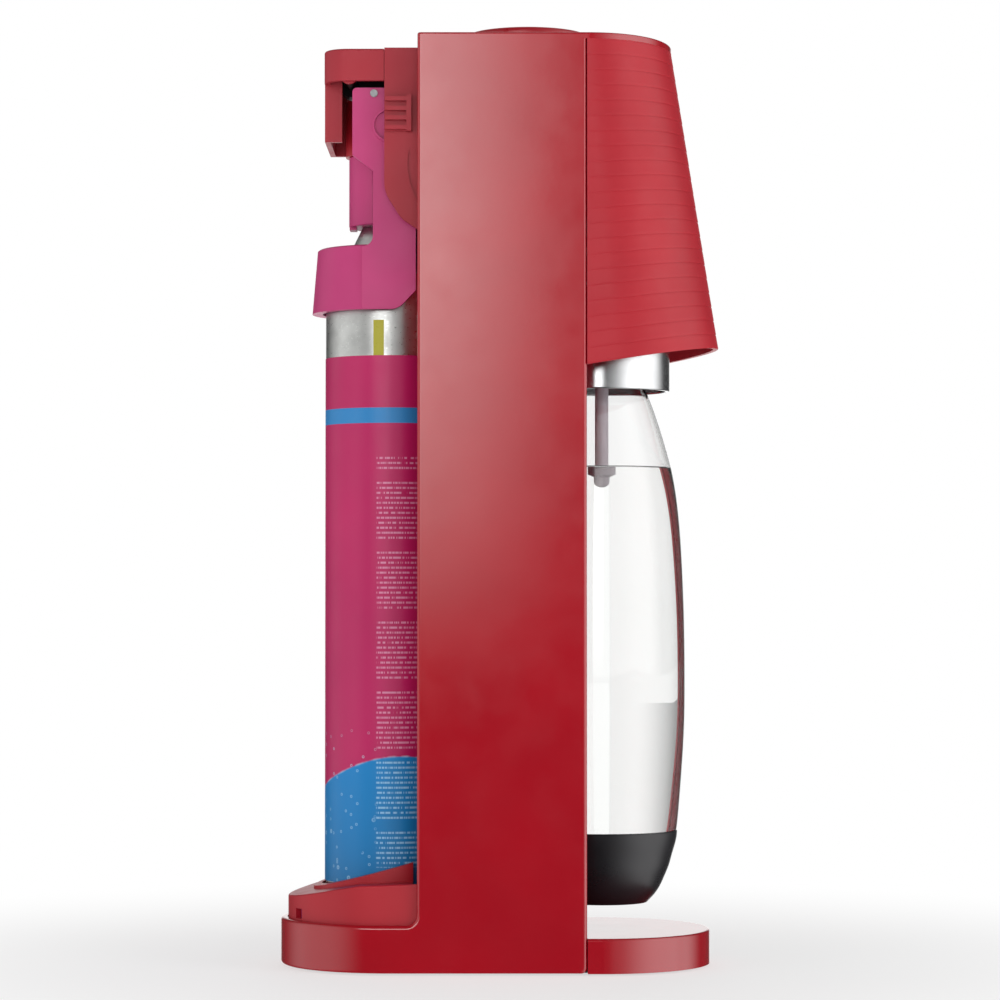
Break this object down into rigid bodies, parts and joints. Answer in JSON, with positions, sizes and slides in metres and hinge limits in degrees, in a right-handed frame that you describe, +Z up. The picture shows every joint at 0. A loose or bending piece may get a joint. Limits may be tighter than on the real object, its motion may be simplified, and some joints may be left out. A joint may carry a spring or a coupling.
{
  "type": "soda carbonator",
  "caption": "Manual soda carbonator: upright column with a tilting bottle holder, press button, ribbed head and a lever-locked rear gas cylinder",
  "frame": {"origin": "on the table, below the middle of the machine's outline", "axes": "+Z up; the machine's front, where the bottle hangs, faces -Y; +X across the machine"},
  "size_m": [0.1, 0.2008, 0.4264],
  "materials": {
    "gloss_red": "moulded glossy red ABS",
    "satin_red": "finely textured red ABS",
    "pink_plastic": "moulded pink plastic",
    "sleeve_print": "printed shrink sleeve in magenta and blue",
    "bare_aluminium": "brushed bare aluminium",
    "collar_chrome": "satin chrome",
    "clear_bottle": "clear blown PET",
    "cup_black": "black polypropylene",
    "nozzle_grey": "mauve-grey plastic",
    "dark_plastic": "glass-filled black nylon",
    "steel": "zinc plated steel",
    "port_brass": "turned brass",
    "seal_rubber": "moulded rubber"
  },
  "bodies": {
    "machine_body": {"left_shell": "gloss_red", "right_shell": "gloss_red", "front_base": "gloss_red", "base_plate": "dark_plastic", "rubber_feet": "seal_rubber", "base_screws": "steel", "cylinder_seat": "satin_red", "cylinder_rest": "pink_plastic", "front_fascia": "satin_red", "rear_channel": "satin_red", "column_frame": "dark_plastic", "head_cover": "satin_red", "top_plate": "gloss_red", "upper_chassis": "dark_plastic", "button_guide": "dark_plastic", "button_spring": "steel", "hinge_bracket_left": "steel", "hinge_bracket_right": "steel", "frame_screws": "steel", "mechanism_cheek_left": "satin_red", "mechanism_cheek_right": "satin_red", "cover_catch_left": "satin_red", "cover_catch_right": "satin_red", "rear_housing": "satin_red", "gas_port_housing": "satin_red", "lever_pivot_pins": "steel", "valve_block": "port_brass", "port_seal": "seal_rubber", "relief_valve": "port_brass", "hose_fitting": "bare_aluminium", "gas_hose": "seal_rubber", "gas_swivel": "port_brass", "press_lever_axle": "steel"},
    "button": {"button": "satin_red", "button_stem": "dark_plastic"},
    "press_lever": {"press_lever": "dark_plastic"},
    "actuator_pin": {"actuator_pin": "steel"},
    "bottle_holder": {"collar_ring": "collar_chrome", "holder_sleeve": "dark_plastic", "holder_housing": "dark_plastic", "holder_pins": "steel", "bottle_seal": "seal_rubber", "clamp_guide": "dark_plastic", "nozzle_tube": "nozzle_grey", "nozzle_tip": "nozzle_grey"},
    "clamp_left": {"clamp_left": "dark_plastic"},
    "clamp_right": {"clamp_right": "dark_plastic"},
    "bottle": {"bottle": "clear_bottle", "bottle_cup": "cup_black"},
    "gas_cylinder": {"cylinder_body": "bare_aluminium", "cylinder_label": "sleeve_print", "cylinder_valve": "pink_plastic"},
    "lift_yoke": {"lift_yoke": "dark_plastic"},
    "locking_lever": {"locking_lever": "pink_plastic", "lever_screws": "steel"}
  },
  "joints": [
    {"name": "button_press", "type": "slide", "parent": "machine_body", "child": "button", "axis": [0, 0, -1], "range_m": [0, 0.005], "stiffness_N_per_m": 400, "springref_m": -0.005, "deforming": ["button_spring"]},
    {"name": "press_lever_swing", "type": "hinge", "parent": "machine_body", "child": "press_lever", "pos_m": [0, 0.068, 0.403], "axis": [1, 0, 0], "range_deg": [0, 3.7]},
    {"name": "actuator_pin_slide", "type": "slide", "parent": "machine_body", "child": "actuator_pin", "axis": [0, 0, -1], "range_m": [0, 0.0011]},
    {"name": "holder_tilt", "type": "hinge", "parent": "machine_body", "child": "bottle_holder", "pos_m": [0, -0.04, 0.322], "axis": [-1, 0, 0], "range_deg": [0, 15]},
    {"name": "bottle_drop", "type": "slide", "parent": "bottle_holder", "child": "bottle", "axis": [0, 0, -1], "range_m": [0, 0.0041]},
    {"name": "clamp_left_slide", "type": "slide", "parent": "bottle_holder", "child": "clamp_left", "axis": [-1, 0, 0], "range_m": [0, 0.0041]},
    {"name": "clamp_right_slide", "type": "slide", "parent": "bottle_holder", "child": "clamp_right", "axis": [1, 0, 0], "range_m": [0, 0.0041]},
    {"name": "lever_lift", "type": "hinge", "parent": "machine_body", "child": "locking_lever", "pos_m": [0, 0.05, 0.3805], "axis": [1, 0, 0], "range_deg": [0, 80]},
    {"name": "cylinder_drop", "type": "slide", "parent": "machine_body", "child": "gas_cylinder", "axis": [0, 0, -1], "range_m": [0, 0.0031]},
    {"name": "yoke_drop", "type": "slide", "parent": "machine_body", "child": "lift_yoke", "axis": [0, 0, -1], "range_m": [0, 0.0031]}
  ],
  "couplings": [
    {"joint": "press_lever_swing", "follows": "button_press", "rad_per_m": 12.5},
    {"joint": "actuator_pin_slide", "follows": "button_press", "ratio": 0.2125},
    {"joint": "bottle_drop", "follows": "holder_tilt", "m_per_rad": 0.01528},
    {"joint": "clamp_left_slide", "follows": "holder_tilt", "m_per_rad": 0.01528},
    {"joint": "clamp_right_slide", "follows": "holder_tilt", "m_per_rad": 0.01528},
    {"joint": "cylinder_drop", "follows": "lever_lift", "m_per_rad": 0.00215},
    {"joint": "yoke_drop", "follows": "lever_lift", "m_per_rad": 0.00215}
  ]
}
